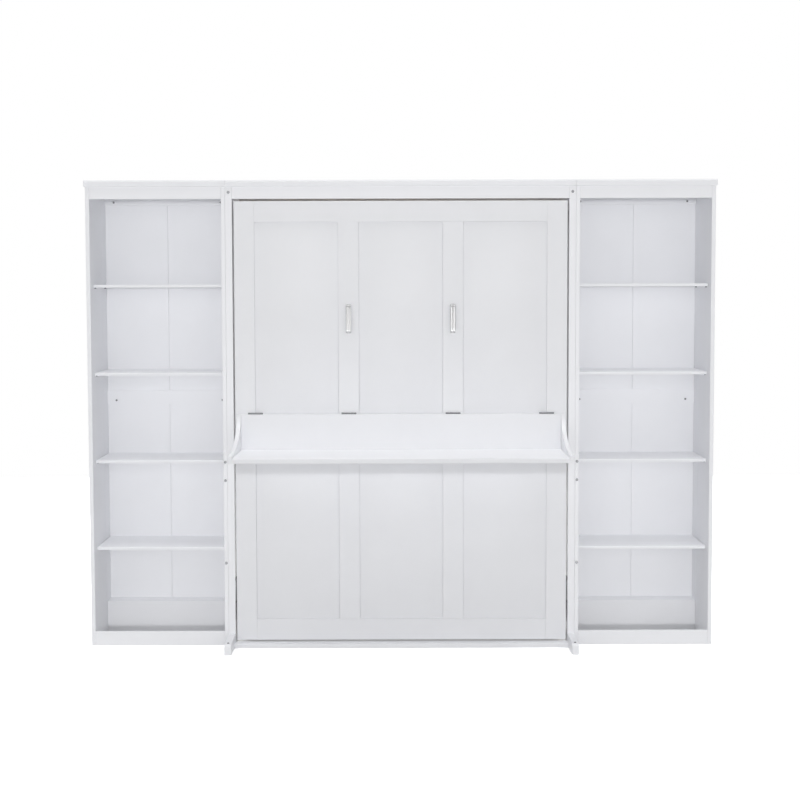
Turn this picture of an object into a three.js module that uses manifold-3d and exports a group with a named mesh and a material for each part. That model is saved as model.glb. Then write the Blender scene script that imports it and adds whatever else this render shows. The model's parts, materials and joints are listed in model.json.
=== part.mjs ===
// A wall bed with two open bookcases. The queen-size bed stands upright in the centre
// cabinet and its face carries a fold-level desk; two gas struts carry the bed's weight.
// Millimetres. The front faces -Y, +X is to the right seen from the front, +Z is up.
// The origin is on the floor, at the middle of the object's width and of its whole depth.

import * as THREE from 'three';
import { mergeVertices } from 'three/addons/utils/BufferGeometryUtils.js';
import Module from 'manifold-3d';

const wasm = await Module();
wasm.setup();

// ---- Driving dimensions ----------------------------------------------------------------

const CLEARANCE = 0.3; // between two pieces that touch
const CABINET_DEPTH = 430;
const DESK_REACH = 470; // of the desk in front of the cabinet
const FRONT = (DESK_REACH - CABINET_DEPTH) / 2; // Y of the cabinet's front edges
const BACK = FRONT + CABINET_DEPTH;

const TOP = { thickness: 30, underside: 2184, frontOverhang: 10, endOverhang: 6, edgeRadius: 9, lean: 4.5 };
const FASCIA = { height: 58, thickness: 18, setback: 1 };

const OPENING_HALF = 794; // half the width between the centre cabinet's sides
const CENTRE_HALF = 826.5; // half the centre cabinet's outer width
const BACK_RAIL = { height: 150, thickness: 18, bottomRailFoot: 60 };
const STRETCHER = { thickness: 20, front: FRONT - 65, back: FRONT - 3 };
const FOOT = { reach: 220, frontHeight: 52, rearHeight: 58, noseRadius: 14 };

const BOOKCASE_OUTER = 1484; // X of the outer face of the right bookcase
const BOOKCASE = { side: 19, back: 7, plinthHeight: 68, plinthThickness: 18 };
const SIDE_SEAM = { fromFront: 305, width: 2.5, depth: 4 }; // where each side's two boards meet
const BACK_SEAM = { width: 2.5, depth: 4 }; // where the back's two sheets meet
const SHELF = { depth: 353, thickness: 14, spacing: 420, count: 4, firstTop: 465, endGap: 1 };
const WALL_RAIL = { thickness: 15, topRail: [2117, 2184], middleRail: [1131, 1200] };
const LEDGE = { top: 153, depth: 95, thickness: 15 };

const BED = { half: 786, bottom: 27, top: 2115.5, frame: 9, sheet: 13 };
const STILE = 95.5;
const INNER_STILE = { centre: 247, width: 97 };
const RAIL = { top: 98, bottom: 100, middle: [1014, 1113] };
const LAP = 4.5; // depth of the half laps where the middle rail crosses the inner stiles
const SIDE_RAIL = { inner: 715, outer: 745, depth: 70 };
const HEAD_RAIL = { bottom: 30, top: 50, depth: 158 };
const FOOT_RAIL = { bottom: 2090, top: 2110 };
const SLAT = { half: 744, width: 62, thickness: 12, count: 14, fromRails: 30 };
const STRAP = { width: 40, thickness: 10 }; // the three straps that tie the slats

const HANDLE = { length: 137, width: 24, thickness: 8, reach: 30, centreX: 246, centreZ: 1562 };

const DESK = { top: 945, thickness: 21, half: 757.5, cheek: 19, backThickness: 20, backTop: 1110 };
const CHEEK = { reach: 450, noseReach: 25, noseTop: 955 };
const DESK_GAP = 3.5; // between the bed's face and the desk's back, filled by hinge leaves
const HINGE = { z: 1114, ahead: 4.5, barrel: 3.5, leaf: 1.5, width: 70, leafBottom: 1078 };
const HINGE_CENTRES = [-690, -247, 247, 690];

const PIVOT = { y: FRONT + 65, z: 263, pin: 10, plate: 4, plateHalf: 60, runningGap: 0.4 };
const STRUT = {
  anchorY: PIVOT.y + 250, anchorZ: PIVOT.z + 500, // on the cabinet side
  bedY: PIVOT.y, bedZ: PIVOT.z - 150, // on the bed's side rail
  plane: 778, tube: 10, bore: 8.5, mouth: 5.4, mouthLength: 12, tubeLength: 360,
  rod: 5, piston: 8.1, pistonFromMouth: [30, 60], eye: 11, eyeHalf: 8, stud: 5, studGap: 0.5,
};

const ROUND = 24; // sides of a small round piece
const PIN_ROUND = 32; // sides of the bed's pivot pins and their bores
const OVERLAP = 1; // how far joined or cut blocks run into each other

// ---- Materials -------------------------------------------------------------------------

const whitePaint = new THREE.MeshStandardMaterial({ color: 0xf1f1f2, roughness: 0.5, metalness: 0 });
const slatWood = new THREE.MeshStandardMaterial({ color: 0xd9bf94, roughness: 0.65, metalness: 0 });
const satinSteel = new THREE.MeshStandardMaterial({ color: 0xc4c5c8, roughness: 0.35, metalness: 1 });
const blackPaint = new THREE.MeshStandardMaterial({ color: 0x26272a, roughness: 0.45, metalness: 0.2 });

// ---- Helpers ---------------------------------------------------------------------------

const name = (side, rest) => (side < 0 ? 'left_' : 'right_') + rest;

// A range of X on one side of the middle: the same numbers, mirrored for the left.
const across = (side, inner, outer) => (side < 0 ? [-outer, -inner] : [inner, outer]);

function mesh(nodeName, geometry, material) {
  const made = new THREE.Mesh(geometry, material);
  made.name = nodeName;
  return made;
}

// A block between two limits on each axis, as a geometry in the part's frame.
function block([x0, x1], [y0, y1], [z0, z1]) {
  const geometry = new THREE.BoxGeometry(x1 - x0, y1 - y0, z1 - z0);
  return geometry.translate((x0 + x1) / 2, (y0 + y1) / 2, (z0 + z1) / 2);
}

// A board keeps the clearance to its neighbours: half of it inside each side, all of it on top.
function board(nodeName, [x0, x1], [y0, y1], [z0, z1], material = whitePaint) {
  const half = CLEARANCE / 2;
  const size = [x1 - x0 - CLEARANCE, y1 - y0 - CLEARANCE, z1 - z0 - CLEARANCE];
  const made = mesh(nodeName, new THREE.BoxGeometry(...size), material);
  made.position.set((x0 + x1) / 2, (y0 + y1) / 2, (z0 + z1) / 2 - half);
  return made;
}

// A closed outline in plan, as [x, y] points, raised from z0 to z1.
function raised(points, z0, z1) {
  const shape = new THREE.Shape(points.map(([x, y]) => new THREE.Vector2(x, y)));
  const geometry = new THREE.ExtrudeGeometry(shape, { depth: z1 - z0, bevelEnabled: false });
  return geometry.translate(0, 0, z0);
}

// A closed outline seen from the right, a THREE.Shape in (y, z), drawn out from x0 to x1.
function drawnAcross(shape, [x0, x1], curveSegments = 10) {
  const options = { depth: x1 - x0, bevelEnabled: false, curveSegments };
  const geometry = new THREE.ExtrudeGeometry(shape, options);
  return geometry.rotateX(Math.PI / 2).rotateZ(Math.PI / 2).translate(x0, 0, 0);
}

// A cylinder along X.
function barAcross(radius, [x0, x1], y, z, sides = ROUND) {
  const geometry = new THREE.CylinderGeometry(radius, radius, x1 - x0, sides);
  return geometry.rotateZ(Math.PI / 2).translate((x0 + x1) / 2, y, z);
}

function solid(geometry) {
  const bare = geometry.clone();
  bare.deleteAttribute('normal');
  bare.deleteAttribute('uv');
  const merged = mergeVertices(bare, 1e-3);
  const triVerts = new Uint32Array(merged.index.array);
  const vertProperties = merged.attributes.position.array;
  return new wasm.Manifold(new wasm.Mesh({ numProp: 3, vertProperties, triVerts }));
}

function geometryOf(manifold) {
  const { numProp, numVert, vertProperties, triVerts } = manifold.getMesh();
  const positions = new Float32Array(numVert * 3);
  for (let i = 0; i < numVert; i += 1) {
    positions.set(vertProperties.subarray(i * numProp, i * numProp + 3), i * 3);
  }
  const geometry = new THREE.BufferGeometry();
  geometry.setAttribute('position', new THREE.BufferAttribute(positions, 3));
  geometry.setIndex(new THREE.BufferAttribute(triVerts, 1));
  return geometry;
}

const joined = (...pieces) => geometryOf(pieces.map(solid).reduce((sum, piece) => sum.add(piece)));

function cut(whole, ...holes) {
  return geometryOf(holes.map(solid).reduce((rest, hole) => rest.subtract(hole), solid(whole)));
}

// ---- Cabinet ---------------------------------------------------------------------------

// A top board whose front top edge is rounded over.
function topBoard(nodeName, [x0, x1]) {
  const front = FRONT - TOP.frontOverhang;
  const bottom = TOP.underside;
  const top = TOP.underside + TOP.thickness;
  const outline = new THREE.Shape();
  outline.moveTo(BACK, bottom);
  outline.lineTo(BACK, top);
  outline.lineTo(front + TOP.edgeRadius, top);
  outline.absarc(front + TOP.edgeRadius, top - TOP.edgeRadius, TOP.edgeRadius, Math.PI / 2, Math.PI, false);
  outline.lineTo(front + TOP.lean, bottom);
  outline.closePath();
  return mesh(nodeName, drawnAcross(outline, [x0, x1], 6), whitePaint);
}

function fascia(nodeName, xRange) {
  const front = FRONT + FASCIA.setback;
  const height = [TOP.underside - FASCIA.height, TOP.underside];
  return board(nodeName, xRange, [front, front + FASCIA.thickness], height);
}

// The foot runs forward along the floor from the centre cabinet's side and has a round nose.
function foot(side) {
  const back = FRONT - CLEARANCE;
  const nose = FRONT - FOOT.reach;
  const radius = FOOT.noseRadius;
  const outline = new THREE.Shape();
  outline.moveTo(back, 0);
  outline.lineTo(back, FOOT.rearHeight);
  outline.lineTo(nose + radius, FOOT.frontHeight);
  outline.absarc(nose + radius, FOOT.frontHeight - radius, radius, Math.PI / 2, Math.PI, false);
  outline.lineTo(nose, 0);
  outline.closePath();
  const xRange = across(side, OPENING_HALF, CENTRE_HALF - CLEARANCE / 2);
  return mesh(name(side, 'foot'), drawnAcross(outline, xRange, 6), whitePaint);
}

// A steel plate on the cabinet's side with the pin that the bed turns on.
function pivotPlate(side) {
  const plateFace = OPENING_HALF - PIVOT.plate;
  const { plateHalf, y, z } = PIVOT;
  const plate = block(
    across(side, plateFace, OPENING_HALF - CLEARANCE),
    [y - plateHalf, y + plateHalf],
    [z - plateHalf, z + plateHalf],
  );
  const pin = barAcross(PIVOT.pin, across(side, SIDE_RAIL.inner, plateFace + OVERLAP), y, z, PIN_ROUND);
  return mesh(name(side, 'pivot_plate'), joined(plate, pin), satinSteel);
}

function centreCabinet() {
  const group = new THREE.Group();
  const inside = [-OPENING_HALF, OPENING_HALF];
  const backRail = [BACK - BACK_RAIL.thickness, BACK];
  const railFoot = BACK_RAIL.bottomRailFoot;
  group.add(
    topBoard('centre_top_board', [-CENTRE_HALF + CLEARANCE / 2, CENTRE_HALF - CLEARANCE / 2]),
    fascia('centre_top_fascia', inside),
    board('centre_back_top_rail', inside, backRail, [TOP.underside - BACK_RAIL.height, TOP.underside]),
    board('centre_back_bottom_rail', inside, backRail, [railFoot, railFoot + BACK_RAIL.height]),
    board('centre_bottom_stretcher', inside, [STRETCHER.front, STRETCHER.back], [0, STRETCHER.thickness]),
  );
  for (const side of [-1, 1]) {
    group.add(
      board(name(side, 'side_panel'), across(side, OPENING_HALF, CENTRE_HALF), [FRONT, BACK],
        [0, TOP.underside]),
      foot(side),
      pivotPlate(side),
    );
  }
  return group;
}

// ---- Bookcases -------------------------------------------------------------------------

// An upright side whose inner face shows the seam between its two boards as a narrow groove.
function bookcaseSide(nodeName, side, faceX, outerX) {
  const half = CLEARANCE / 2;
  const inwards = Math.sign(outerX - faceX); // from the groove into the board
  const seam = FRONT + SIDE_SEAM.fromFront;
  const outline = [
    [faceX, FRONT + half],
    [outerX - inwards * half, FRONT + half],
    [outerX - inwards * half, BACK - half],
    [faceX, BACK - half],
    [faceX, seam + SIDE_SEAM.width / 2],
    [faceX + inwards * SIDE_SEAM.depth, seam + SIDE_SEAM.width / 2],
    [faceX + inwards * SIDE_SEAM.depth, seam - SIDE_SEAM.width / 2],
    [faceX, seam - SIDE_SEAM.width / 2],
  ];
  return mesh(name(side, nodeName), raised(outline, 0, TOP.underside - CLEARANCE), whitePaint);
}

// The back: two thin sheets meeting at a seam, and the two rails that fix the bookcase to a wall.
function bookcaseBack(side, [x0, x1]) {
  const sheetFront = BACK - BOOKCASE.back;
  const middle = (x0 + x1) / 2;
  const sheet = [
    [x0, sheetFront],
    [middle - BACK_SEAM.width / 2, sheetFront],
    [middle - BACK_SEAM.width / 2, sheetFront + BACK_SEAM.depth],
    [middle + BACK_SEAM.width / 2, sheetFront + BACK_SEAM.depth],
    [middle + BACK_SEAM.width / 2, sheetFront],
    [x1, sheetFront],
    [x1, BACK - CLEARANCE],
    [x0, BACK - CLEARANCE],
  ];
  const rails = [WALL_RAIL.topRail, WALL_RAIL.middleRail].map(([z0, z1]) => (
    block([x0, x1], [sheetFront - WALL_RAIL.thickness, sheetFront + OVERLAP], [z0, z1 - CLEARANCE])
  ));
  const height = [LEDGE.top, TOP.underside - CLEARANCE];
  return mesh(name(side, 'bookcase_back'), joined(raised(sheet, ...height), ...rails), whitePaint);
}

// The low ledge at the back: a board on a front board that stands on the floor.
function bookcaseLedge(side, [x0, x1]) {
  const front = BACK - BOOKCASE.back - LEDGE.depth;
  const outline = new THREE.Shape();
  outline.moveTo(front, 0);
  outline.lineTo(front + LEDGE.thickness, 0);
  outline.lineTo(front + LEDGE.thickness, LEDGE.top - LEDGE.thickness);
  outline.lineTo(BACK - CLEARANCE, LEDGE.top - LEDGE.thickness);
  outline.lineTo(BACK - CLEARANCE, LEDGE.top - CLEARANCE);
  outline.lineTo(front, LEDGE.top - CLEARANCE);
  outline.closePath();
  return mesh(name(side, 'bookcase_ledge'), drawnAcross(outline, [x0, x1]), whitePaint);
}

function bookcase(side) {
  const group = new THREE.Group();
  const innerFace = CENTRE_HALF + BOOKCASE.side;
  const outerFace = BOOKCASE_OUTER - BOOKCASE.side;
  const inside = across(side, innerFace, outerFace);
  const insideClear = across(side, innerFace + CLEARANCE, outerFace - CLEARANCE);
  const topEnds = across(side, CENTRE_HALF + CLEARANCE / 2, BOOKCASE_OUTER + TOP.endOverhang);
  const plinthFront = FRONT + FASCIA.setback;
  group.add(
    bookcaseSide('bookcase_inner_side', side, side * innerFace, side * CENTRE_HALF),
    bookcaseSide('bookcase_outer_side', side, side * outerFace, side * BOOKCASE_OUTER),
    topBoard(name(side, 'bookcase_top_board'), topEnds),
    fascia(name(side, 'bookcase_top_fascia'), inside),
    board(name(side, 'bookcase_plinth'), inside, [plinthFront, plinthFront + BOOKCASE.plinthThickness],
      [0, BOOKCASE.plinthHeight]),
    bookcaseBack(side, insideClear),
    bookcaseLedge(side, insideClear),
  );
  const shelfX = across(side, innerFace + SHELF.endGap, outerFace - SHELF.endGap);
  const shelfBack = BACK - BOOKCASE.back;
  for (let i = 0; i < SHELF.count; i += 1) {
    const top = SHELF.firstTop + i * SHELF.spacing;
    group.add(board(name(side, `bookcase_shelf_${i + 1}`), shelfX, [shelfBack - SHELF.depth, shelfBack],
      [top - SHELF.thickness, top]));
  }
  return group;
}

// ---- Bed -------------------------------------------------------------------------------

const FACE_FRAME = [FRONT, FRONT + BED.frame];
const SHEET_BACK = FRONT + BED.frame + BED.sheet;

// An inner stile, halved at its front where the middle rail crosses it.
function innerStile(side) {
  const { centre, width } = INNER_STILE;
  const [x0, x1] = across(side, centre - width / 2, centre + width / 2);
  const half = CLEARANCE / 2;
  const stile = block([x0 + half, x1 - half], [FRONT + half, FRONT + BED.frame - half],
    [BED.bottom + RAIL.bottom + half, BED.top - RAIL.top - half]);
  const [lapBottom, lapTop] = RAIL.middle;
  const lap = block([x0 - OVERLAP, x1 + OVERLAP], [FRONT - OVERLAP, FRONT + LAP + half],
    [lapBottom - half, lapTop + half]);
  return mesh(name(side, 'inner_stile'), cut(stile, lap), whitePaint);
}

// The middle rail, halved at its back where it crosses the inner stiles.
function middleRail() {
  const half = CLEARANCE / 2;
  const end = BED.half - STILE - half;
  const height = [RAIL.middle[0] + half, RAIL.middle[1] - half];
  const rail = block([-end, end], [FRONT + half, FRONT + BED.frame - half], height);
  const laps = [-1, 1].map((side) => {
    const { centre, width } = INNER_STILE;
    const [x0, x1] = across(side, centre - width / 2, centre + width / 2);
    return block([x0 - half, x1 + half], [FRONT + LAP - half, SHEET_BACK], [0, BED.top]);
  });
  return mesh('middle_rail', cut(rail, ...laps), whitePaint);
}

// A side rail of the mattress frame, bored for the pin that the bed turns on.
function sideRail(side) {
  const half = CLEARANCE / 2;
  const [x0, x1] = across(side, SIDE_RAIL.inner, SIDE_RAIL.outer);
  const rail = block([x0 + half, x1 - half], [SHEET_BACK + half, SHEET_BACK + SIDE_RAIL.depth - half],
    [HEAD_RAIL.top + half, FOOT_RAIL.bottom - half]);
  const bore = PIVOT.pin + PIVOT.runningGap;
  const hole = barAcross(bore, [x0 - OVERLAP, x1 + OVERLAP], PIVOT.y, PIVOT.z, PIN_ROUND);
  return mesh(name(side, 'bed_side_rail'), cut(rail, hole), whitePaint);
}

// The slats lie across the side rails and are tied by three straps beneath them.
function slatDeck() {
  const under = SHEET_BACK + SIDE_RAIL.depth + CLEARANCE;
  const bottom = HEAD_RAIL.top + SLAT.fromRails;
  const top = FOOT_RAIL.bottom - SLAT.fromRails;
  const pitch = (top - SLAT.width - bottom) / (SLAT.count - 1);
  const slats = [];
  for (let i = 0; i < SLAT.count; i += 1) {
    const z0 = bottom + i * pitch;
    slats.push(block([-SLAT.half, SLAT.half], [under, under + SLAT.thickness], [z0, z0 + SLAT.width]));
  }
  const strapEnd = SIDE_RAIL.inner - CLEARANCE;
  const strapStarts = [-strapEnd, -STRAP.width / 2, strapEnd - STRAP.width];
  const straps = strapStarts.map((x0) => (
    block([x0, x0 + STRAP.width], [under - STRAP.thickness, under + OVERLAP], [bottom, top])
  ));
  return mesh('slat_deck', joined(...slats, ...straps), slatWood);
}

// A bow handle, drawn as its outline seen from the side: two legs and a bar with round corners.
function handle(side) {
  const { length, width, thickness, reach, centreX, centreZ } = HANDLE;
  const end = length / 2;
  const bar = -reach + thickness;
  const outline = new THREE.Shape();
  outline.moveTo(0, -end);
  outline.lineTo(0, -end + thickness);
  outline.lineTo(bar, -end + thickness);
  outline.lineTo(bar, end - thickness);
  outline.lineTo(0, end - thickness);
  outline.lineTo(0, end);
  outline.lineTo(bar, end);
  outline.absarc(bar, end - thickness, thickness, Math.PI / 2, Math.PI, false);
  outline.lineTo(-reach, -end + thickness);
  outline.absarc(bar, -end + thickness, thickness, Math.PI, Math.PI * 1.5, false);
  outline.closePath();
  const made = mesh(name(side, 'handle'), drawnAcross(outline, [-width / 2, width / 2], 5), satinSteel);
  made.position.set(side * centreX, FRONT - CLEARANCE, centreZ);
  return made;
}

function bed() {
  const group = new THREE.Group();
  const full = [-BED.half, BED.half];
  const between = [-BED.half + STILE, BED.half - STILE];
  const railInner = [-SIDE_RAIL.outer, SIDE_RAIL.outer];
  group.add(
    board('face_sheet', full, [FRONT + BED.frame, SHEET_BACK], [BED.bottom, BED.top]),
    board('top_rail', between, FACE_FRAME, [BED.top - RAIL.top, BED.top]),
    board('bottom_rail', between, FACE_FRAME, [BED.bottom, BED.bottom + RAIL.bottom]),
    middleRail(),
    board('bed_head_rail', railInner, [SHEET_BACK, SHEET_BACK + HEAD_RAIL.depth],
      [HEAD_RAIL.bottom, HEAD_RAIL.top]),
    board('bed_foot_rail', railInner, [SHEET_BACK, SHEET_BACK + SIDE_RAIL.depth + SLAT.thickness],
      [FOOT_RAIL.bottom, FOOT_RAIL.top]),
    slatDeck(),
  );
  for (const side of [-1, 1]) {
    group.add(
      board(name(side, 'outer_stile'), across(side, BED.half - STILE, BED.half), FACE_FRAME,
        [BED.bottom, BED.top]),
      innerStile(side),
      sideRail(side),
      handle(side),
    );
  }
  return group;
}

// ---- Desk ------------------------------------------------------------------------------

// A cheek: its top edge falls in a hollow quarter ellipse from the back board to the desk's front.
function cheek(side) {
  const back = FRONT - DESK_GAP;
  const front = FRONT - CHEEK.reach;
  const nose = FRONT - CHEEK.noseReach;
  const outline = new THREE.Shape();
  outline.moveTo(back, DESK.top - DESK.thickness);
  outline.lineTo(back, DESK.backTop);
  outline.lineTo(nose, DESK.backTop);
  const fall = DESK.backTop - CHEEK.noseTop;
  outline.absellipse(front, DESK.backTop, nose - front, fall, 0, -Math.PI / 2, true, 0);
  outline.lineTo(front, DESK.top - DESK.thickness);
  outline.closePath();
  const xRange = across(side, DESK.half, DESK.half + DESK.cheek);
  return mesh(name(side, 'desk_cheek'), drawnAcross(outline, xRange, 18), whitePaint);
}

// A hinge: its barrel, and the leaf that is screwed to the back of the desk's back board.
function deskHinge(index, centreX) {
  const axisY = FRONT - HINGE.ahead;
  const xRange = [centreX - HINGE.width / 2, centreX + HINGE.width / 2];
  const leafFront = FRONT - DESK_GAP + CLEARANCE;
  const leaf = block(xRange, [leafFront, leafFront + HINGE.leaf], [HINGE.leafBottom, HINGE.z]);
  const barrel = barAcross(HINGE.barrel, xRange, axisY, HINGE.z, ROUND);
  return mesh(`desk_hinge_${index + 1}`, joined(leaf, barrel), satinSteel);
}

function desk() {
  const group = new THREE.Group();
  const underside = DESK.top - DESK.thickness;
  const backBoard = [FRONT - DESK_GAP - DESK.backThickness, FRONT - DESK_GAP];
  const width = [-DESK.half, DESK.half];
  group.add(
    board('desk_board', width, [FRONT - DESK_REACH, backBoard[0]], [underside, DESK.top]),
    board('desk_back_board', width, backBoard, [underside, DESK.backTop]),
    cheek(-1),
    cheek(1),
    ...HINGE_CENTRES.map((x, index) => deskHinge(index, x)),
  );
  return group;
}

// ---- Gas struts ------------------------------------------------------------------------

// A round piece about the Z axis, from [radius, z] points listed from its top to its bottom.
function turned(points) {
  const profile = points.map(([radius, z]) => new THREE.Vector2(radius, z)).reverse();
  return new THREE.LatheGeometry(profile, ROUND).rotateX(Math.PI / 2);
}

// The tube hangs from its eye at the origin, with a guide round the rod at its mouth.
function strutTube(side) {
  const { tube, bore, mouth, mouthLength, tubeLength, eye, eyeHalf, stud, plane } = STRUT;
  const wall = turned([
    [0, -eye / 2],
    [tube, -eye / 2],
    [tube, -tubeLength],
    [mouth, -tubeLength],
    [mouth, -tubeLength + mouthLength],
    [bore, -tubeLength + mouthLength],
    [bore, -eye * 2],
    [0, -eye * 2],
  ]);
  const ring = barAcross(eye, [-eyeHalf, eyeHalf], 0, 0);
  const anchor = barAcross(stud, across(side, 0, OPENING_HALF - CLEARANCE - plane), 0, 0);
  return mesh(name(side, 'strut_tube'), joined(wall, ring, anchor), blackPaint);
}

// The rod and its piston, with an eye and a stud that ends just short of the bed's side rail.
function strutRod(side, span) {
  const { rod, piston, pistonFromMouth, tubeLength, eye, eyeHalf, stud, studGap, plane } = STRUT;
  const [pistonBottom, pistonTop] = pistonFromMouth.map((rise) => rise - tubeLength);
  const shaft = turned([
    [0, pistonTop],
    [piston, pistonTop],
    [piston, pistonBottom],
    [rod, pistonBottom],
    [rod, -span + eye / 2],
    [0, -span + eye / 2],
  ]);
  const ring = barAcross(eye, [-eyeHalf, eyeHalf], 0, -span);
  const pin = barAcross(stud, across(-side, 0, plane - SIDE_RAIL.outer - studGap), 0, -span);
  return mesh(name(side, 'strut_rod'), joined(shaft, ring, pin), satinSteel);
}

// Each strut is built upright, hanging from its anchor, and turned towards the bed.
function strut(side) {
  const runY = STRUT.bedY - STRUT.anchorY;
  const runZ = STRUT.bedZ - STRUT.anchorZ;
  const group = new THREE.Group();
  group.add(strutTube(side), strutRod(side, Math.hypot(runY, runZ)));
  group.position.set(side * STRUT.plane, STRUT.anchorY, STRUT.anchorZ);
  group.rotation.x = Math.atan2(runY, -runZ);
  return group;
}

// ---- The whole object ------------------------------------------------------------------

const wallBed = new THREE.Group();
wallBed.add(centreCabinet(), bookcase(-1), bookcase(1), bed(), desk(), strut(-1), strut(1));

export default wallBed;
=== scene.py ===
"""Looks for the white wall bed with its desk and bookcases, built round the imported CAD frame.

Metres, in the CAD's frame: the front faces -Y, +X is to the right, +Z is up, the floor is at 0.
"""
import json
import math

import bmesh
import bpy
from mathutils import Matrix, Vector

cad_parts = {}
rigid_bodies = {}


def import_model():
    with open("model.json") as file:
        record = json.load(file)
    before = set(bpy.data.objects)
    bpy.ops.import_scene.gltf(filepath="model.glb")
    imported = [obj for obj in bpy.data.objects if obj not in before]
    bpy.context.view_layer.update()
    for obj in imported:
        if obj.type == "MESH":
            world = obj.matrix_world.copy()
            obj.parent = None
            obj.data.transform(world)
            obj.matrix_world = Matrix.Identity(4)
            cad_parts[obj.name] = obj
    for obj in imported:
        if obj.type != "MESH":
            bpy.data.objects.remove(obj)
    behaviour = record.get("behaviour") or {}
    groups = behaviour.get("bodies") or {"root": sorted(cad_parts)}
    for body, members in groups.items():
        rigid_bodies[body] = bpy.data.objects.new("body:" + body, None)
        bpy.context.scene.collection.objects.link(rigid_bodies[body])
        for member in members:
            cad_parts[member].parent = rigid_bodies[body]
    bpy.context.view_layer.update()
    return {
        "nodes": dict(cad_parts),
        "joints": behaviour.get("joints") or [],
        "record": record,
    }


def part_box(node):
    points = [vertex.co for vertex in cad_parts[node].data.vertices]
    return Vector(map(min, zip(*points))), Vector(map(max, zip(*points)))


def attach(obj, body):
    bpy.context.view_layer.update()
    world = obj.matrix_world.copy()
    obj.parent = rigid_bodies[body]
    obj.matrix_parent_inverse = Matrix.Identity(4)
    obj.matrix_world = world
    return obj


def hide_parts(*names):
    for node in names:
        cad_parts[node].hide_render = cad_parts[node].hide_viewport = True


MM = 0.001
SIDES = (("left", -1), ("right", 1))
SHELVES = (1, 2, 3, 4)
HINGES = (1, 2, 3, 4)

# Camera: a long lens in front of the bed, a little above the handles, tipped slightly down.
LENS = 73.25
CAMERA_DISTANCE = 7.70  # in front of the cabinet's front edges
CAMERA_HEIGHT = 1.704
CAMERA_OFFSET = -0.0047
CAMERA_PITCH = math.radians(3.921)
CAMERA_ROLL = math.radians(-0.142)

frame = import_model()
NODES = frame["nodes"]
JOINTS = {joint["name"]: joint for joint in frame["joints"]}


# ---- Materials ---------------------------------------------------------------------------


class Nodes:
    """A material and short ways to add and link its shader nodes."""

    def __init__(self, name):
        self.material = bpy.data.materials.new(name)
        self.material.use_nodes = True
        self.tree = self.material.node_tree
        self.shader = self.tree.nodes["Principled BSDF"]

    def add(self, kind, **settings):
        node = self.tree.nodes.new(kind)
        for key, value in settings.items():
            if hasattr(node, key):
                setattr(node, key, value)
            else:
                node.inputs[key.replace("_", " ")].default_value = value
        return node

    def link(self, source, target):
        self.tree.links.new(source, target)

    def set(self, socket, value):
        self.shader.inputs[socket].default_value = value

    def place(self, scale=(1, 1, 1)):
        """The piece's own coordinates in metres, stretched by scale."""
        coordinates = self.add("ShaderNodeTexCoord")
        mapping = self.add("ShaderNodeMapping")
        mapping.inputs["Scale"].default_value = scale
        self.link(coordinates.outputs["Object"], mapping.inputs["Vector"])
        return mapping.outputs["Vector"]

    def noise(self, vector, scale, detail=2.0, rough=0.5):
        node = self.add("ShaderNodeTexNoise", Scale=scale, Detail=detail, Roughness=rough)
        self.link(vector, node.inputs["Vector"])
        return node.outputs["Fac"]

    def ramp(self, factor, *stops):
        """A colour ramp from (position, colour) stops."""
        node = self.add("ShaderNodeValToRGB")
        elements = node.color_ramp.elements
        while len(elements) < len(stops):
            elements.new(0.5)
        for element, (position, colour) in zip(elements, stops):
            element.position = position
            element.color = (*colour, 1)
        self.link(factor, node.inputs["Fac"])
        return node.outputs["Color"]

    def range(self, factor, low, high):
        node = self.add("ShaderNodeMapRange")
        node.inputs["To Min"].default_value = low
        node.inputs["To Max"].default_value = high
        self.link(factor, node.inputs["Value"])
        return node.outputs["Result"]

    def bump(self, height, strength, distance, under=None):
        node = self.add("ShaderNodeBump", Strength=strength, Distance=distance)
        self.link(height, node.inputs["Height"])
        if under is not None:
            self.link(under, node.inputs["Normal"])
        return node.outputs["Normal"]


def white_paint():
    """Sprayed satin lacquer on board: a faint orange peel and barely uneven tone and gloss."""
    made = Nodes("white_satin_paint")
    place = made.place()
    tone = made.noise(place, 5.0, detail=4.0)
    made.link(
        made.ramp(tone, (0.3, (0.898, 0.904, 0.930)), (0.7, (0.914, 0.920, 0.946))),
        made.shader.inputs["Base Color"],
    )
    made.link(made.range(made.noise(place, 40.0), 0.36, 0.5), made.shader.inputs["Roughness"])
    peel = made.bump(made.noise(place, 420.0, detail=3.0), 0.06, 0.0004)
    wave = made.bump(made.noise(place, 26.0), 0.05, 0.0012, under=peel)
    made.link(wave, made.shader.inputs["Normal"])
    made.set("IOR", 1.48)
    made.set("Specular IOR Level", 0.42)
    return made.material


def slat_wood():
    """Sanded pine: wavy grain along X with darker late wood."""
    made = Nodes("sanded_pine")
    grain_place = made.place((1.4, 30, 30))
    bend = made.noise(made.place((3, 8, 8)), 1.0, detail=3.0)
    wave = made.add("ShaderNodeTexWave", wave_type="BANDS", bands_direction="Z", Scale=3.2)
    wave.inputs["Distortion"].default_value = 7.0
    wave.inputs["Detail"].default_value = 3.0
    made.link(grain_place, wave.inputs["Vector"])
    fibre = made.noise(made.place((14, 520, 520)), 1.0, detail=4.0)
    mix = made.add("ShaderNodeMath", operation="MULTIPLY_ADD")
    made.link(wave.outputs["Fac"], mix.inputs[0])
    mix.inputs[1].default_value = 0.55
    made.link(made.range(bend, 0.0, 0.45), mix.inputs[2])
    colour = made.ramp(
        mix.outputs["Value"],
        (0.1, (0.69, 0.50, 0.29)),
        (0.5, (0.76, 0.59, 0.37)),
        (0.9, (0.56, 0.36, 0.18)),
    )
    made.link(colour, made.shader.inputs["Base Color"])
    made.link(made.range(fibre, 0.5, 0.68), made.shader.inputs["Roughness"])
    made.link(made.bump(fibre, 0.25, 0.0003), made.shader.inputs["Normal"])
    return made.material


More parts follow.
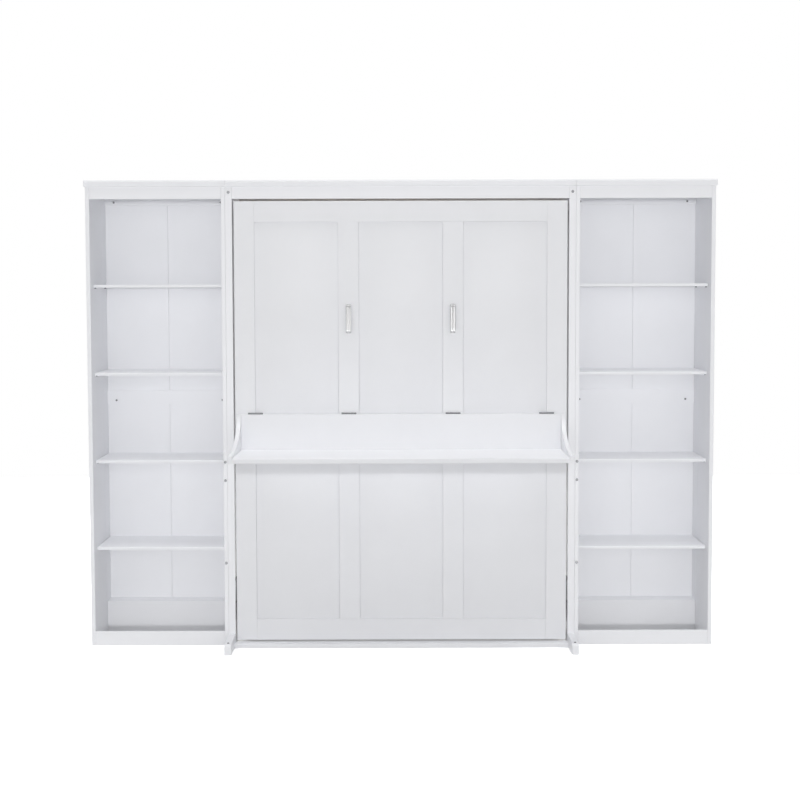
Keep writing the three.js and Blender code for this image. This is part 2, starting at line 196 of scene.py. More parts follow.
def satin_steel():
    """Brushed nickel: fine lines along the piece and a soft sheen."""
    made = Nodes("satin_nickel")
    lines = made.noise(made.place((1800, 1800, 60)), 1.0, detail=2.0)
    made.set("Base Color", (0.50, 0.50, 0.505, 1))
    made.set("Metallic", 1.0)
    made.link(made.range(lines, 0.30, 0.42), made.shader.inputs["Roughness"])
    made.link(made.bump(lines, 0.05, 0.0001), made.shader.inputs["Normal"])
    return made.material


def zinc_with_painted_shade():
    """Zinc-plated hardware: slightly mottled grey, made darker than bare plating as painted shade of the
    gaps and recesses it sits in.
    """
    made = Nodes("zinc_plate_with_painted_shade")
    mottle = made.noise(made.place(), 160.0, detail=4.0)
    # Painted shade: these greys are darker than zinc plating, standing in for the shade in the hinges'
    # gap and round the bolts.
    colour = made.ramp(mottle, (0.3, (0.19, 0.195, 0.205)), (0.7, (0.26, 0.265, 0.275)))
    made.link(colour, made.shader.inputs["Base Color"])
    made.set("Metallic", 1.0)
    made.link(made.range(mottle, 0.36, 0.5), made.shader.inputs["Roughness"])
    return made.material


def black_paint():
    """Baked black paint on the strut's tube."""
    made = Nodes("black_baked_paint")
    speck = made.noise(made.place(), 700.0)
    made.set("Base Color", (0.018, 0.018, 0.02, 1))
    made.link(made.range(speck, 0.28, 0.4), made.shader.inputs["Roughness"])
    made.link(made.bump(speck, 0.05, 0.0002), made.shader.inputs["Normal"])
    made.set("Coat Weight", 0.3)
    made.set("Coat Roughness", 0.2)
    return made.material


def floor_paint(name, tone):
    made = Nodes(name)
    made.set("Base Color", (tone, tone, tone, 1))
    made.set("Roughness", 0.9)
    made.set("Specular IOR Level", 0.0)
    return made.material


PAINT = white_paint()
WOOD = slat_wood()
STEEL = satin_steel()
ZINC_WITH_PAINTED_SHADE = zinc_with_painted_shade()
BLACK = black_paint()


# ---- Mesh helpers ------------------------------------------------------------------------

SHARP_ANGLE = math.radians(35)
SUNK = 1 * MM  # how far a head, pin or collar reaches into what it sits on


def piece(name, mesh, body, material):
    """Turns a bmesh into a named piece that rides on a body, with sharp edges kept sharp."""
    bmesh.ops.recalc_face_normals(mesh, faces=mesh.faces)
    for face in mesh.faces:
        face.smooth = True
    for edge in mesh.edges:
        edge.smooth = len(edge.link_faces) == 2 and edge.calc_face_angle(0) < SHARP_ANGLE
    data = bpy.data.meshes.new(name)
    mesh.to_mesh(data)
    mesh.free()
    made = bpy.data.objects.new(name, data)
    bpy.context.scene.collection.objects.link(made)
    data.materials.append(material)
    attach(made, body)
    return made


def rounded_block(mesh, low, high, radius, segments=2):
    """A block with all its edges rounded."""
    low, high = Vector(low), Vector(high)
    size = high - low
    place = Matrix.Translation((low + high) / 2) @ Matrix.Diagonal((*size, 1))
    verts = bmesh.ops.create_cube(mesh, size=1, matrix=place)["verts"]
    edges = list({edge for vert in verts for edge in vert.link_edges})
    bmesh.ops.bevel(mesh, geom=edges, offset=radius, segments=segments, profile=0.5, affect="EDGES")


def rounded_plate(mesh, centre, along, across, normal, radius, edge):
    """A plate with rounded corners and a softened front edge; along, across, normal are half sizes."""
    corner_steps = 6
    u, v, n = Vector(along), Vector(across), Vector(normal)
    half_u, half_v = u.length, v.length
    u, v = u.normalized(), v.normalized()

    def outline(inset, depth):
        r = radius - inset
        points = []
        for corner_u, corner_v, start in ((1, 1, 0), (-1, 1, 90), (-1, -1, 180), (1, -1, 270)):
            for step in range(corner_steps + 1):
                turn = math.radians(start + 90 * step / corner_steps)
                at_u = corner_u * (half_u - radius) + r * math.cos(turn)
                at_v = corner_v * (half_v - radius) + r * math.sin(turn)
                points.append(Vector(centre) + u * at_u + v * at_v + n * depth)
        return [mesh.verts.new(point) for point in points]

    soft = edge / n.length
    rings = [
        outline(0, -1),
        outline(0, 1 - soft),
        outline(edge * 0.35, 1 - soft * 0.35),
        outline(edge, 1),
    ]
    for lower, upper in zip(rings, rings[1:]):
        for i, vert in enumerate(lower):
            j = (i + 1) % len(lower)
            mesh.faces.new((vert, lower[j], upper[j], upper[i]))
    mesh.faces.new(list(reversed(rings[0])))
    mesh.faces.new(rings[-1])


def axis_matrix(origin, direction):
    """Takes local +Z to direction, with the local origin at origin."""
    turn = Vector(direction).to_track_quat("Z", "Y").to_matrix().to_4x4()
    return Matrix.Translation(Vector(origin)) @ turn


def lathe(mesh, profile, place, segments=32, shape=None):
    """A turned solid from (radius, height) points; shape(turn, index) may reshape a ring's radius."""
    rings = []
    for index, (radius, height) in enumerate(profile):
        if radius == 0:
            rings.append([mesh.verts.new(place @ Vector((0, 0, height)))])
            continue
        ring = []
        for step in range(segments):
            turn = math.tau * step / segments
            r = radius * (shape(turn, index) if shape else 1)
            ring.append(mesh.verts.new(place @ Vector((r * math.cos(turn), r * math.sin(turn), height))))
        rings.append(ring)
    for lower, upper in zip(rings, rings[1:]):
        for step in range(segments):
            after = (step + 1) % segments
            corners = [lower[step % len(lower)], lower[after % len(lower)]]
            corners += [upper[after % len(upper)], upper[step % len(upper)]]
            unique = list(dict.fromkeys(corners))
            if len(unique) > 2:
                mesh.faces.new(unique)


def hexagon(turn):
    """How far out a hexagon's edge is, for corners at one radius."""
    sixth = math.pi / 3
    return math.cos(sixth / 2) / math.cos(turn % sixth - sixth / 2)


def socket_bolt(mesh, centre, direction, radius=6.8 * MM, height=3 * MM):
    """A low domed bolt head with a hexagon socket."""
    key = radius * 0.5
    profile = [
        (0, -SUNK), (radius, -SUNK), (radius, height * 0.35), (radius * 0.93, height * 0.7),
        (radius * 0.74, height), (key * 1.12, height), (key, height * 0.9), (key, height * 0.15), (0, 0),
    ]
    socket = (6, 7)  # the rings round the socket's mouth and floor
    lathe(mesh, profile, axis_matrix(centre, direction), 24,
          lambda turn, index: hexagon(turn) if index in socket else 1)


def cross_screw(mesh, centre, direction, radius=3.5 * MM):
    """A countersunk screw head, almost flush, with a cross recess."""
    recess = 3  # the ring round the recess's mouth

    def cross(turn, index):
        return (0.45 + 0.55 * abs(math.cos(2 * turn)) ** 3) if index == recess else 1

    profile = [
        (0, -SUNK), (radius, -SUNK), (radius * 0.92, 0.5 * MM),
        (radius * 0.52, 0.6 * MM), (radius * 0.16, -0.4 * MM), (0, -0.5 * MM),
    ]
    lathe(mesh, profile, axis_matrix(centre, direction), 24, cross)


def sweep(mesh, path, section, sideways):
    """A closed section carried along a flat path; sideways is the path plane's normal."""
    sideways = Vector(sideways)
    rings = []
    for index, point in enumerate(path):
        before = path[max(index - 1, 0)]
        after = path[min(index + 1, len(path) - 1)]
        ahead = (after - before).normalized()
        out = sideways.cross(ahead).normalized()
        rings.append([mesh.verts.new(point + sideways * a + out * b) for a, b in section])
    for lower, upper in zip(rings, rings[1:]):
        for i, vert in enumerate(lower):
            j = (i + 1) % len(lower)
            mesh.faces.new((vert, lower[j], upper[j], upper[i]))
    mesh.faces.new(list(reversed(rings[0])))
    mesh.faces.new(rings[-1])


def grooved_section(half_width, half_thick, groove, steps=8):
    """A flat bar's section: half-round edges, and a shallow round groove along its front."""
    points = []
    for side, start in ((1, -90), (-1, 90)):
        for step in range(steps + 1):
            turn = math.radians(start + 180 * step / steps)
            points.append((side * (half_width - half_thick) + half_thick * math.cos(turn),
                           half_thick * math.sin(turn)))
        if side == 1:
            reach = (half_width - half_thick) * 0.8
            for step in range(steps + 1):
                across = reach * (1 - 2 * step / steps)
                dip = groove * math.cos(math.pi / 2 * across / reach) ** 2
                points.append((across, half_thick - dip))
    return points


# ---- CAD nodes that stay -----------------------------------------------------------------

EDGE = {"slat_deck": 2.0 * MM, "desk_board": 2.5 * MM, "desk_back_board": 2.0 * MM}
PLAIN_EDGE = 1.2 * MM
FRAME_EDGE = 0.8 * MM
THIN_NODES = ("stile", "rail", "bookcase_back", "face_sheet")


def soften(name, node):
    """Rounds a board's edges by a millimetre or two, as paint and sanding leave them."""
    for polygon in node.data.polygons:
        polygon.use_smooth = True
    weld = node.modifiers.new("weld", "WELD")
    weld.merge_threshold = 0.01 * MM
    flat = node.modifiers.new("flat", "DECIMATE")
    flat.decimate_type = "DISSOLVE"
    flat.angle_limit = math.radians(0.5)
    bevel = node.modifiers.new("edge", "BEVEL")
    thin = any(word in name for word in THIN_NODES)
    bevel.width = EDGE.get(name, FRAME_EDGE if thin else PLAIN_EDGE)
    bevel.segments = 2
    bevel.limit_method = "ANGLE"
    bevel.angle_limit = math.radians(40)
    bevel.use_clamp_overlap = True
    weighted = node.modifiers.new("weighted", "WEIGHTED_NORMAL")
    weighted.mode = "FACE_AREA"
    weighted.weight = 50


def finish_cad_nodes():
    slots = {part["node"]: part["material_slot"] for part in frame["record"]["subparts"]}
    finishes = {"white_paint": PAINT, "slat_wood": WOOD, "satin_steel": STEEL, "black_paint": BLACK}
    for name, node in NODES.items():
        node.data.materials.clear()
        node.data.materials.append(finishes[slots[name]])
        if not node.hide_render:
            soften(name, node)


# ---- The bed's panels --------------------------------------------------------------------

PANEL_GAP = 1.6 * MM
PANEL_THICKNESS = 3.0 * MM
PANEL_BEDDING = 0.5 * MM  # how far a panel sits in the backing sheet
PANEL_EDGE = 0.5 * MM


def bed_panels():
    """Six flat panels let in between the stiles and rails, with a thin gap all round."""
    sheet_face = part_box("face_sheet")[0].y
    uprights = [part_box(f"{side}_{kind}_stile") for side, kind in
                (("left", "outer"), ("left", "inner"), ("right", "inner"), ("right", "outer"))]
    rails = [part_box(name) for name in ("bottom_rail", "middle_rail", "top_rail")]
    for row, (under, over) in zip(("lower", "upper"), zip(rails, rails[1:])):
        for column, (before, after) in zip(("left", "middle", "right"), zip(uprights, uprights[1:])):
            mesh = bmesh.new()
            rounded_block(
                mesh,
                (before[1].x + PANEL_GAP, sheet_face - PANEL_THICKNESS, under[1].z + PANEL_GAP),
                (after[0].x - PANEL_GAP, sheet_face + PANEL_BEDDING, over[0].z - PANEL_GAP),
                PANEL_EDGE,
            )
            piece(f"{row}_{column}_panel", mesh, "bed", PAINT)


# ---- Handles -----------------------------------------------------------------------------

HANDLE_THICKNESS = 8 * MM
HANDLE_GROOVE = 2.6 * MM
HANDLE_BEND = 13 * MM
BEND_STEPS = 9
LEG_END = 4 * MM  # the straight end of each leg
FLANGE_HALF_WIDTH = 12 * MM
FLANGE_HALF_HEIGHT = 6.4 * MM
FLANGE_HALF_DEPTH = 0.9 * MM
FLANGE_CORNER = 5 * MM
FLANGE_EDGE = 0.7 * MM
FLANGE_SHIFT = 1.5 * MM  # from the leg's middle towards the handle's middle


def handle(side):
    """A bow handle bent from one flat bar with round edges, on two small flanges."""
    low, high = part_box(f"{side}_handle")
    x = (low.x + high.x) / 2
    half_width = (high.x - low.x) / 2
    half_thick = HANDLE_THICKNESS / 2
    door, bar = high.y, low.y + half_thick
    bottom, top = low.z + half_thick, high.z - half_thick
    path = [Vector((x, door, bottom)), Vector((x, door - LEG_END, bottom))]
    for corner_z, start in ((bottom + HANDLE_BEND, 270), (top - HANDLE_BEND, 180)):
        for step in range(BEND_STEPS + 1):
            turn = math.radians(start - 90 * step / BEND_STEPS)
            y = bar + HANDLE_BEND + HANDLE_BEND * math.cos(turn)
            path.append(Vector((x, y, corner_z + HANDLE_BEND * math.sin(turn))))
    path += [Vector((x, door - LEG_END, top)), Vector((x, door, top))]
    mesh = bmesh.new()
    sweep(mesh, path, grooved_section(half_width, half_thick, HANDLE_GROOVE), (1, 0, 0))
    for z in (bottom + FLANGE_SHIFT, top - FLANGE_SHIFT):
        rounded_plate(
            mesh,
            (x, door - FLANGE_HALF_DEPTH, z),
            (FLANGE_HALF_WIDTH, 0, 0),
            (0, 0, FLANGE_HALF_HEIGHT),
            (0, -FLANGE_HALF_DEPTH, 0),
            FLANGE_CORNER,
            FLANGE_EDGE,
        )
    made = piece(f"{side}_bow_handle", mesh, "bed", STEEL)
    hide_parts(f"{side}_handle")


# ---- Desk hinges -------------------------------------------------------------------------

KNUCKLES = 5
KNUCKLE_GAP = 0.25 * MM
LEAF = 1.5 * MM
LEAF_EDGE = 0.4 * MM
LEAF_END = 0.3 * MM  # how far the leaves stop short of the knuckles' ends
LEAF_CLEARANCE = 0.1 * MM  # between a leaf and the board it is screwed to
HINGE_PIN = 1.4 * MM
HINGE_SCREW = 3 * MM
HINGE_SCREW_INSET = 12 * MM
HINGE_SCREW_DEPTH = 0.45 * MM


def desk_hinge(number):
    """A butt hinge: two leaves, interleaved knuckles and a pin with small heads."""
    low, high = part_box(f"desk_hinge_{number}")
    anchor = Vector(JOINTS["desk_fold"]["pos_m"])
    radius = high.z - anchor.z
    knuckle = (high.x - low.x) / KNUCKLES
    screws = (low.x + HINGE_SCREW_INSET, (low.x + high.x) / 2, high.x - HINGE_SCREW_INSET)

    def leaf(y0, normal, first_knuckle):
        """One leaf from y0 back, with every second knuckle and screws facing along normal."""
        mesh = bmesh.new()
        rounded_block(
            mesh,
            (low.x + LEAF_END, y0, low.z),
            (high.x - LEAF_END, y0 + LEAF, anchor.z - radius * 0.6),
            LEAF_EDGE,
            1,
        )
        for index in range(first_knuckle, KNUCKLES, 2):
            x0 = low.x + index * knuckle + KNUCKLE_GAP / 2
            x1 = x0 + knuckle - KNUCKLE_GAP
            wide = x1 - x0
            profile = [
                (0, 0), (radius * 0.86, 0), (radius, LEAF_EDGE), (radius, wide - LEAF_EDGE),
                (radius * 0.86, wide), (0, wide),
            ]
            lathe(mesh, profile, axis_matrix((x0, anchor.y, anchor.z), (1, 0, 0)), 28)
            rounded_block(
                mesh,
                (x0, min(y0, anchor.y), anchor.z - radius * 0.9),
                (x1, y0 + LEAF, anchor.z - radius * 0.4),
                LEAF_EDGE / 2,
                1,
            )
        screw_y = y0 + LEAF if normal > 0 else y0
        for x in screws:
            centre = (x, screw_y - normal * HINGE_SCREW_DEPTH, low.z + HINGE_SCREW_INSET)
            cross_screw(mesh, centre, (0, normal, 0), HINGE_SCREW)
        return mesh

    desk_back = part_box("desk_back_board")[1].y
    rail_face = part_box("middle_rail")[0].y
    desk_mesh = leaf(desk_back + LEAF_CLEARANCE, 1, 1)
    desk_leaf = piece(f"desk_hinge_leaf_{number}", desk_mesh, "desk", ZINC_WITH_PAINTED_SHADE)
    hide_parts(f"desk_hinge_{number}")
    bed_mesh = leaf(rail_face - LEAF_CLEARANCE - LEAF, -1, 0)
    piece(f"bed_hinge_leaf_{number}", bed_mesh, "bed", ZINC_WITH_PAINTED_SHADE)
    mesh = bmesh.new()
    head = [
        (0, -SUNK), (HINGE_PIN, -SUNK), (HINGE_PIN * 1.4, 0.1 * MM), (HINGE_PIN * 1.2, 0.6 * MM),
        (0, 0.8 * MM),
    ]
    for x, out in ((low.x, -1), (high.x, 1)):
        lathe(mesh, head, axis_matrix((x, anchor.y, anchor.z), (out, 0, 0)), 16)
    piece(f"hinge_pin_{number}", mesh, "bed", ZINC_WITH_PAINTED_SHADE)


# ---- Pivots and gas struts ---------------------------------------------------------------

PIVOT_PLATE = 4 * MM
PIVOT_PLATE_CORNER = 14 * MM
PIVOT_PLATE_EDGE = 0.8 * MM
PIVOT_PIN = 10 * MM
PIVOT_BOLT_INSET = 16 * MM
TUBE = 10 * MM
TUBE_LENGTH = 360 * MM
TUBE_BORE_DEPTH = 20 * MM
ROD = 5 * MM
STUD = 4.6 * MM
SOCKET = 11 * MM
SOCKET_HALF_WIDTH = 8 * MM
STRUT_PLATE_HALF_DEPTH = 0.8 * MM
STRUT_PLATE_CLEARANCE = 0.1 * MM
STRUT_SCREW_SPREAD = 20 * MM


def pivot(side, sign):
    """A pivot plate bolted to the cabinet's side, with its pin and the pin's collar."""
    low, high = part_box(f"{side}_pivot_plate")
    joint = Vector(JOINTS["bed_fold"]["pos_m"])
    wall, pin_end = (high.x, low.x) if sign > 0 else (low.x, high.x)
    half = (high.z - low.z) / 2
    inward = (-sign, 0, 0)
    mesh = bmesh.new()
    rounded_plate(
        mesh,
        (wall - sign * PIVOT_PLATE / 2, joint.y, joint.z),
        (0, half, 0),
        (0, 0, half),
        (-sign * PIVOT_PLATE / 2, 0, 0),
        PIVOT_PLATE_CORNER,
        PIVOT_PLATE_EDGE,
    )
    plate_face = wall - sign * PIVOT_PLATE
    length = abs(pin_end - plate_face)
    pin = PIVOT_PIN
    profile = [
        (0, -SUNK), (pin * 1.5, -SUNK), (pin * 1.5, 2.2 * MM), (pin * 1.38, 2.8 * MM), (pin, 2.8 * MM),
        (pin, length - 1 * MM), (pin * 0.9, length), (pin * 0.35, length), (0, length - 2 * MM),
    ]
    lathe(mesh, profile, axis_matrix((plate_face, joint.y, joint.z), inward), 40)
    spread = half - PIVOT_BOLT_INSET
    for dy in (-1, 1):
        for dz in (-1, 1):
            at = (plate_face, joint.y + dy * spread, joint.z + dz * spread)
            socket_bolt(mesh, at, inward, 6.5 * MM, 2 * MM)
    made = piece(f"{side}_pivot", mesh, "cabinet", ZINC_WITH_PAINTED_SHADE)
    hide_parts(f"{side}_pivot_plate")


def ball_socket(name, body, centre, stud_end):
    """A socket ring on a stud that runs in X from the strut's line to stud_end."""
    mesh = bmesh.new()
    x0, x1 = sorted((centre.x, stud_end))
    stud = [(0, 0), (STUD, 0), (STUD, x1 - x0), (0, x1 - x0)]
    lathe(mesh, stud, axis_matrix((x0, centre.y, centre.z), (1, 0, 0)), 24)
    half = SOCKET_HALF_WIDTH
    ring = [
        (0, -half), (SOCKET * 0.75, -half), (SOCKET, -half * 0.55),
        (SOCKET, half * 0.55), (SOCKET * 0.75, half), (0, half),
    ]
    lathe(mesh, ring, axis_matrix(centre, (1, 0, 0)), 32)
    piece(name, mesh, body, ZINC_WITH_PAINTED_SHADE)


def strut(side, sign):
    """A gas strut: painted tube with a rolled end, bright rod, and a ball socket at each end."""
    swing = Vector(JOINTS[f"{side}_strut_swing"]["pos_m"])
    slide = Vector(JOINTS[f"{side}_strut_slide"]["axis"])
    low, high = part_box(f"{side}_strut_rod")
    tube_low, tube_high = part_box(f"{side}_strut_tube")
    # The rod's eye is its lowest and foremost part, so its centre is a radius up and back.
    rod_end = Vector((swing.x, low.y + SOCKET, low.z + SOCKET))
    span = (swing - rod_end).length
    place = axis_matrix(swing, -slide)
    mesh = bmesh.new()
    lathe(mesh, [
        (0, 8 * MM), (TUBE * 0.7, 8 * MM), (TUBE, 11 * MM), (TUBE, TUBE_LENGTH - 12 * MM),
        (TUBE * 0.94, TUBE_LENGTH - 11 * MM), (TUBE * 0.94, TUBE_LENGTH - 8 * MM),
        (TUBE, TUBE_LENGTH - 7 * MM), (TUBE, TUBE_LENGTH - 2 * MM), (TUBE * 0.8, TUBE_LENGTH),
        (ROD * 1.12, TUBE_LENGTH), (ROD * 1.12, TUBE_LENGTH - TUBE_BORE_DEPTH),
        (0, TUBE_LENGTH - TUBE_BORE_DEPTH),
    ], place, 40)
    tube_piece = piece(f"{side}_gas_tube", mesh, f"{side}_tube", BLACK)
    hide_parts(f"{side}_strut_tube")

    # One stud reaches out to the cabinet's side, the other in to the bed's side rail.
    wall = tube_high.x if sign > 0 else tube_low.x
    rail = low.x if sign > 0 else high.x
    ball_socket(f"{side}_upper_socket", f"{side}_tube", swing, wall)
    ball_socket(f"{side}_lower_socket", f"{side}_rod", rod_end, rail)

    mesh = bmesh.new()
    lathe(mesh, [
        (0, TUBE_LENGTH - 30 * MM), (ROD, TUBE_LENGTH - 30 * MM), (ROD, span - 14 * MM),
        (ROD * 1.5, span - 12 * MM), (ROD * 1.5, span - 7 * MM), (0, span - 7 * MM),
    ], place, 32)
    rod_piece = piece(f"{side}_gas_rod", mesh, f"{side}_rod", STEEL)
    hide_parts(f"{side}_strut_rod")

    mesh = bmesh.new()
    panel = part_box(f"{side}_side_panel")
    inner_face = panel[0].x if sign > 0 else panel[1].x
    plate_x = inner_face - sign * (STRUT_PLATE_HALF_DEPTH + STRUT_PLATE_CLEARANCE)
    centre = Vector((plate_x, swing.y, swing.z))
    inward = (-sign * STRUT_PLATE_HALF_DEPTH, 0, 0)
    rounded_plate(mesh, centre, (0, 18 * MM, 0), (0, 0, 30 * MM), inward, 6 * MM, 0.4 * MM)
    for dz in (-STRUT_SCREW_SPREAD, STRUT_SCREW_SPREAD):
        cross_screw(mesh, centre + Vector((*inward[:2], dz)), (-sign, 0, 0))
    piece(f"{side}_strut_plate", mesh, "cabinet", ZINC_WITH_PAINTED_SHADE)


# ---- Fastenings --------------------------------------------------------------------------

POST_BOLT_HEIGHT = 2.157
BOOKCASE_BOLT_HEIGHTS = (0.398, 0.794, 0.882)
WALL_RAIL_BOLT_HEIGHTS = (1.1505, 2.1315)
WALL_RAIL_BOLT_INSET = 45 * MM
FOOT_BOLT_INSET = 26 * MM
FOOT_BOLT_HEIGHT = 52 * MM
SHELF_PIN = 2.5 * MM
SHELF_PIN_REACH = 8 * MM
SHELF_PIN_CLEARANCE = 0.2 * MM
FRONT_PIN_INSET = 37 * MM
BACK_PIN_INSET = 50 * MM
BACK_SCREW_ROWS = 13
BACK_SCREW_INSET = 8 * MM
BACK_SCREW_END = 40 * MM  # from the back's top and bottom to its last screws
BACK_SCREW_SETBACK = 0.31 * MM  # keeps the heads inside the object's box
BACK_BOLT_INSET = (60 * MM, 35 * MM)  # from a back rail's end, and from its long edges
BACK_BOLT_SETBACK = 2.86 * MM


def middle_x(box):
    low, high = box
    return (low.x + high.x) / 2


def front_bolts(side):
    """Bolt heads in the front edges, which tie the bookcase to the centre cabinet."""
    mesh = bmesh.new()
    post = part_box(f"{side}_side_panel")
    socket_bolt(mesh, (middle_x(post), post[0].y, POST_BOLT_HEIGHT), (0, -1, 0))
    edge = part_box(f"{side}_bookcase_inner_side")
    for z in BOOKCASE_BOLT_HEIGHTS:
        socket_bolt(mesh, (middle_x(edge), edge[0].y, z), (0, -1, 0))
    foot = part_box(f"{side}_foot")
    foot_bolt = (middle_x(foot), foot[0].y + FOOT_BOLT_INSET, foot[0].z + FOOT_BOLT_HEIGHT)
    socket_bolt(mesh, foot_bolt, (0, 0, 1), 6 * MM)
    piece(f"{side}_front_bolts", mesh, "cabinet", ZINC_WITH_PAINTED_SHADE)


def rail_bolts(side):
    """Bolts through the two wall rails behind the shelves."""
    low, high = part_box(f"{side}_bookcase_back")
    mesh = bmesh.new()
    for z in WALL_RAIL_BOLT_HEIGHTS:
        for x in (low.x + WALL_RAIL_BOLT_INSET, high.x - WALL_RAIL_BOLT_INSET):
            socket_bolt(mesh, (x, low.y, z), (0, -1, 0), 5 * MM)
    piece(f"{side}_rail_bolts", mesh, "cabinet", ZINC_WITH_PAINTED_SHADE)


def shelf_pins(side):
    """Four steel pins under each shelf, pushed into the bookcase's sides."""
    mesh = bmesh.new()
    sides = (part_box(f"{side}_bookcase_inner_side"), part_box(f"{side}_bookcase_outer_side"))
    walls = sorted(sides, key=lambda box: box[0].x)
    left_wall, right_wall = walls[0][1].x, walls[1][0].x
    profile = [
        (0, -SUNK), (SHELF_PIN, -SUNK), (SHELF_PIN, SHELF_PIN_REACH - 0.6 * MM),
        (SHELF_PIN * 0.8, SHELF_PIN_REACH), (0, SHELF_PIN_REACH),
    ]
    for shelf in SHELVES:
        low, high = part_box(f"{side}_bookcase_shelf_{shelf}")
        z = low.z - SHELF_PIN - SHELF_PIN_CLEARANCE
        for y in (low.y + FRONT_PIN_INSET, high.y - BACK_PIN_INSET):
            for wall, out in ((left_wall, 1), (right_wall, -1)):
                lathe(mesh, profile, axis_matrix((wall, y, z), (out, 0, 0)), 16)
    piece(f"{side}_shelf_pins", mesh, "cabinet", ZINC_WITH_PAINTED_SHADE)


def back_screws():
    """Screws in the bookcases' backs and bolts in the centre cabinet's back rails."""
    for side, _ in SIDES:
        low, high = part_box(f"{side}_bookcase_back")
        mesh = bmesh.new()
        run = high.z - low.z - 2 * BACK_SCREW_END
        for row in range(BACK_SCREW_ROWS):
            z = low.z + BACK_SCREW_END + run * row / (BACK_SCREW_ROWS - 1)
            for x in (low.x + BACK_SCREW_INSET, (low.x + high.x) / 2, high.x - BACK_SCREW_INSET):
                cross_screw(mesh, (x, high.y - BACK_SCREW_SETBACK, z), (0, 1, 0))
        piece(f"{side}_back_screws", mesh, "cabinet", ZINC_WITH_PAINTED_SHADE)
    mesh = bmesh.new()
    end_inset, edge_inset = BACK_BOLT_INSET
    for name in ("centre_back_top_rail", "centre_back_bottom_rail"):
        low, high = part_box(name)
        for x in (low.x + end_inset, high.x - end_inset):
            for z in (low.z + edge_inset, high.z - edge_inset):
                socket_bolt(mesh, (x, high.y - BACK_BOLT_SETBACK, z), (0, 1, 0), 6.5 * MM)
    piece("back_rail_bolts", mesh, "cabinet", ZINC_WITH_PAINTED_SHADE)


# ---- Studio ------------------------------------------------------------------------------

AMBIENT = 0.30  # the world as a light
REFLECTED_WORLD = 0.55  # the world in reflections
FRONT_POWER = 615
BED_KEY_POWER = 310
BOOKCASE_KEY_POWER = 420
OVERHEAD_POWER = 380
TOP_FILL = 0.5
FLOOR_POWER = 5500
AIM = (0, 0, 1.0)
FLOOR_TONE = 0.9
FLOOR_LEVEL = -0.5 * MM
FLOOR_HALF = 7.0
BOUNCE_TONE = 0.70
BOUNCE_LEVEL = -1.0 * MM
BOUNCE_HALF = 60.0


def area_light(name, place, target, size, power):
    data = bpy.data.lights.new(name, "AREA")
    data.shape = "RECTANGLE"
    data.size, data.size_y = size
    data.energy = power
    made = bpy.data.objects.new(name, data)
    bpy.context.scene.collection.objects.link(made)
    made.location = place
    made.rotation_mode = "QUATERNION"
    made.rotation_quaternion = (Vector(target) - Vector(place)).to_track_quat("-Z", "Y")
    return made


def stage_plane(name, height, tone, half):
    plane = bpy.data.objects.new(name, bpy.data.meshes.new(name))
    mesh = bmesh.new()
    bmesh.ops.create_grid(mesh, x_segments=1, y_segments=1, size=half)
    mesh.to_mesh(plane.data)
    mesh.free()
    plane.location.z = height
    plane.data.materials.append(floor_paint(name, tone))
    bpy.context.scene.collection.objects.link(plane)
    return plane


def white_world():
    """White behind the object and bright in reflections, but softer as a light."""
    world = bpy.data.worlds.new("studio")
    bpy.context.scene.world = world
    world.use_nodes = True
    tree = world.node_tree
    background = tree.nodes["Background"]
    background.inputs["Color"].default_value = (1, 1, 1, 1)
    seen = tree.nodes.new("ShaderNodeLightPath")
    previous = None
    for ray, value in (("Is Glossy Ray", REFLECTED_WORLD), ("Is Camera Ray", 1.0)):
        strength = tree.nodes.new("ShaderNodeMapRange")
        strength.inputs["To Min"].default_value = AMBIENT
        strength.inputs["To Max"].default_value = value
        tree.links.new(seen.outputs[ray], strength.inputs["Value"])
        if previous:
            tree.links.new(previous, strength.inputs["To Min"])
        previous = strength.outputs["Result"]
    tree.links.new(previous, background.inputs["Strength"])


def light_only(light, objects):
    """Lets a light fall on these objects alone."""
    lit = bpy.data.collections.new(f"lit_by_{light.name}")
    for item in objects:
        lit.objects.link(item)
    light.light_linking.receiver_collection = lit


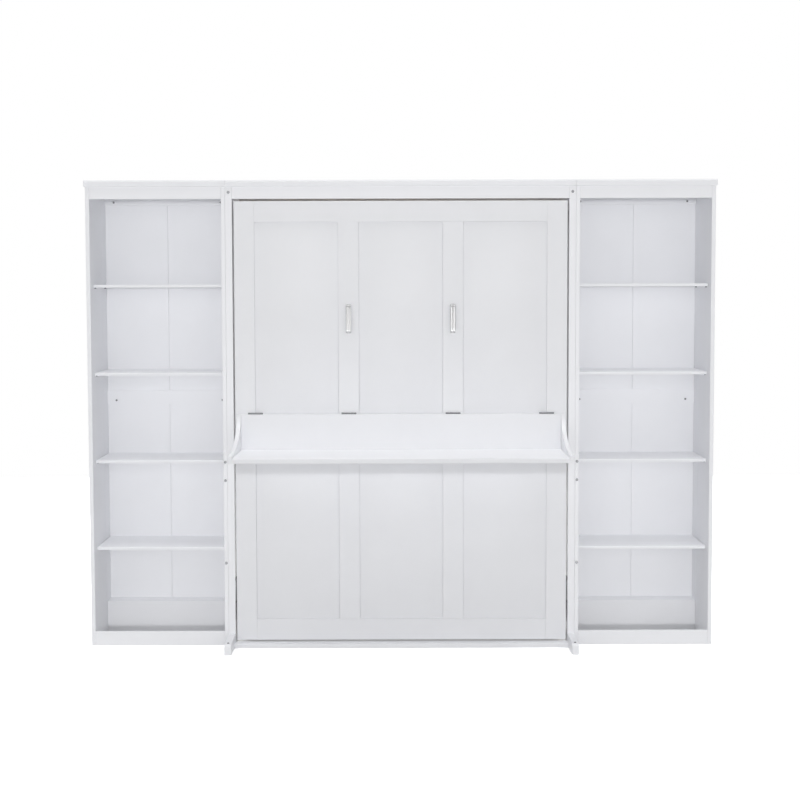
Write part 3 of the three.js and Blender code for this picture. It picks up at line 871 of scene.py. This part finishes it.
def studio():
    floor = stage_plane("floor", FLOOR_LEVEL, FLOOR_TONE, FLOOR_HALF)
    floor.visible_diffuse = False
    floor.visible_shadow = False
    # What the object gets back from the floor comes from a greyer one that the camera doesn't see.
    bounce = stage_plane("floor_bounce", BOUNCE_LEVEL, BOUNCE_TONE, BOUNCE_HALF)
    bounce.visible_camera = False
    white_world()

    area_light("front", (0, -16, 2.8), AIM, (30.0, 5.4), FRONT_POWER)
    # The desk's shadow is long and the shelves' are short, so the key is split in two.
    moving = {NODES["face_sheet"].parent, NODES["desk_board"].parent}
    meshes = [item for item in bpy.context.scene.objects if item.type == "MESH"]
    for name, height, power, on_bed in (
        ("bed_key", 4.0, BED_KEY_POWER, True),
        ("bookcase_key", 1.9, BOOKCASE_KEY_POWER, False),
    ):
        key = area_light(name, (0, -15, height), AIM, (1.6, 0.5), power)
        light_only(key, [item for item in meshes if (item.parent in moving) == on_bed])
    # A weak light straight down without shadows lifts the shelves' and desk's tops.
    fill = bpy.data.lights.new("top_fill", "SUN")
    fill.energy = TOP_FILL
    fill.use_shadow = False
    bpy.context.scene.collection.objects.link(bpy.data.objects.new("top_fill", fill))
    area_light("overhead", (0, -2.0, 12.0), (0, -1.0, 0), (9.0, 5.0), OVERHEAD_POWER)
    lift = area_light("floor_lift", (0, -1.0, 10.0), (0, -1.0, 0), (20.0, 20.0), FLOOR_POWER)
    light_only(lift, [floor])


def camera():
    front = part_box("left_side_panel")[0].y
    data = bpy.data.cameras.new("camera")
    data.lens = LENS
    data.sensor_width = 36
    data.clip_end = 200
    made = bpy.data.objects.new("camera", data)
    bpy.context.scene.collection.objects.link(made)
    place = Matrix.Translation((CAMERA_OFFSET, front - CAMERA_DISTANCE, CAMERA_HEIGHT))
    tip = Matrix.Rotation(math.pi / 2 - CAMERA_PITCH, 4, "X")
    made.matrix_world = place @ tip @ Matrix.Rotation(CAMERA_ROLL, 4, "Z")
    bpy.context.scene.camera = made


# ---- Build -------------------------------------------------------------------------------

camera()
for number in HINGES:
    desk_hinge(number)
for side, sign in SIDES:
    handle(side)
    pivot(side, sign)
    strut(side, sign)
    front_bolts(side)
    rail_bolts(side)
    shelf_pins(side)
back_screws()
bed_panels()
finish_cad_nodes()
studio()

bpy.context.scene.view_settings.view_transform = "Standard"
